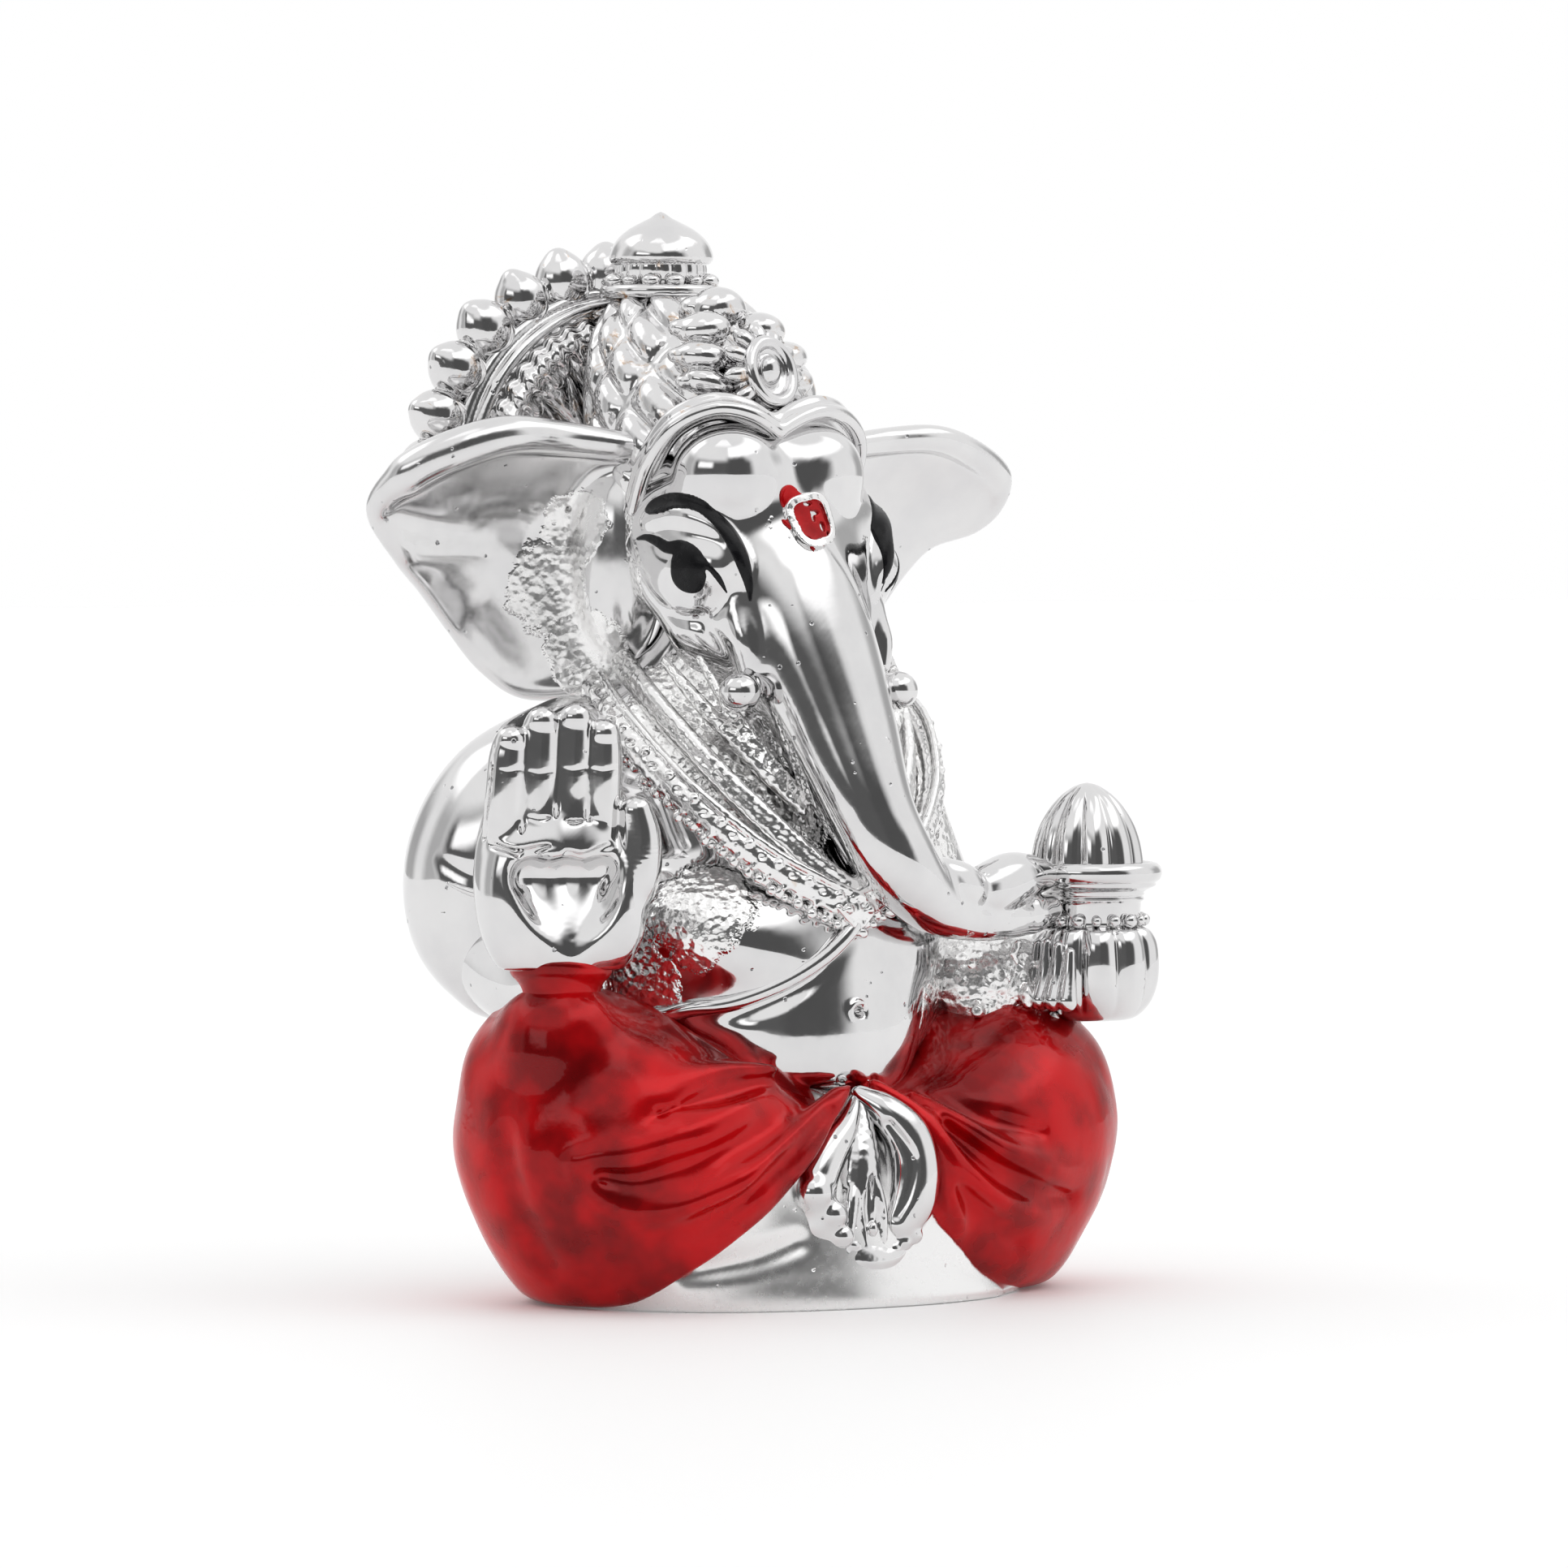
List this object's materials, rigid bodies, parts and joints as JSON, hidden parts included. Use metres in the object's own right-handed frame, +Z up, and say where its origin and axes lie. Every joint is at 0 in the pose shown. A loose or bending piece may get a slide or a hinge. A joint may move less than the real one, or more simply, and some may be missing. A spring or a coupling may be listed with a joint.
{
  "type": "ganesha idol",
  "caption": "Small seated elephant-headed devotional figure in bright plated metal with red draped legs, one hand raised, the other holding a bowl of sweets.",
  "frame": {"origin": "centre of the flat underside on the middle plane, on the surface it stands on", "axes": "+Z up, the idol faces -Y, +X is the idol's own left"},
  "size_m": [0.0493, 0.0355, 0.0708],
  "materials": {
    "silver_plate": "bright plated casting, mirror-like on smooth areas with small pits and a little tarnish",
    "red_lacquer": "glossy translucent red lacquer over metal, mottled",
    "black_enamel": "glossy black enamel line work",
    "felt": "short wool felt"
  },
  "bodies": {
    "root": {"base_plate": "silver_plate", "felt_pad": "felt", "torso": "silver_plate", "right_leg": "red_lacquer", "left_leg": "red_lacquer", "right_foot": "silver_plate", "left_foot": "silver_plate", "dhoti_pleats": "silver_plate", "belt_cord": "silver_plate", "necklace_band": "silver_plate", "necklace_beads": "silver_plate", "chest_sash": "silver_plate", "right_upper_arm": "silver_plate", "right_forearm": "silver_plate", "right_cuff": "red_lacquer", "right_hand": "silver_plate", "left_upper_arm": "silver_plate", "left_forearm": "silver_plate", "left_hand": "silver_plate", "bowl": "silver_plate", "bowl_beads": "silver_plate", "laddoo_dome": "silver_plate", "head": "silver_plate", "right_ear": "silver_plate", "left_ear": "silver_plate", "trunk": "silver_plate", "right_tusk": "silver_plate", "left_tusk": "silver_plate", "right_eye": "black_enamel", "left_eye": "black_enamel", "right_brow": "black_enamel", "left_brow": "black_enamel", "tilak_rim": "silver_plate", "tilak_enamel": "red_lacquer", "tiara": "silver_plate", "turban": "silver_plate", "crown_plate": "silver_plate", "crown_beads": "silver_plate", "crown_finial": "silver_plate", "medallion_ring": "silver_plate", "medallion_gem": "silver_plate", "medallion_petals": "silver_plate", "halo_plate": "silver_plate", "halo_petals": "silver_plate"}
  },
  "joints": []
}
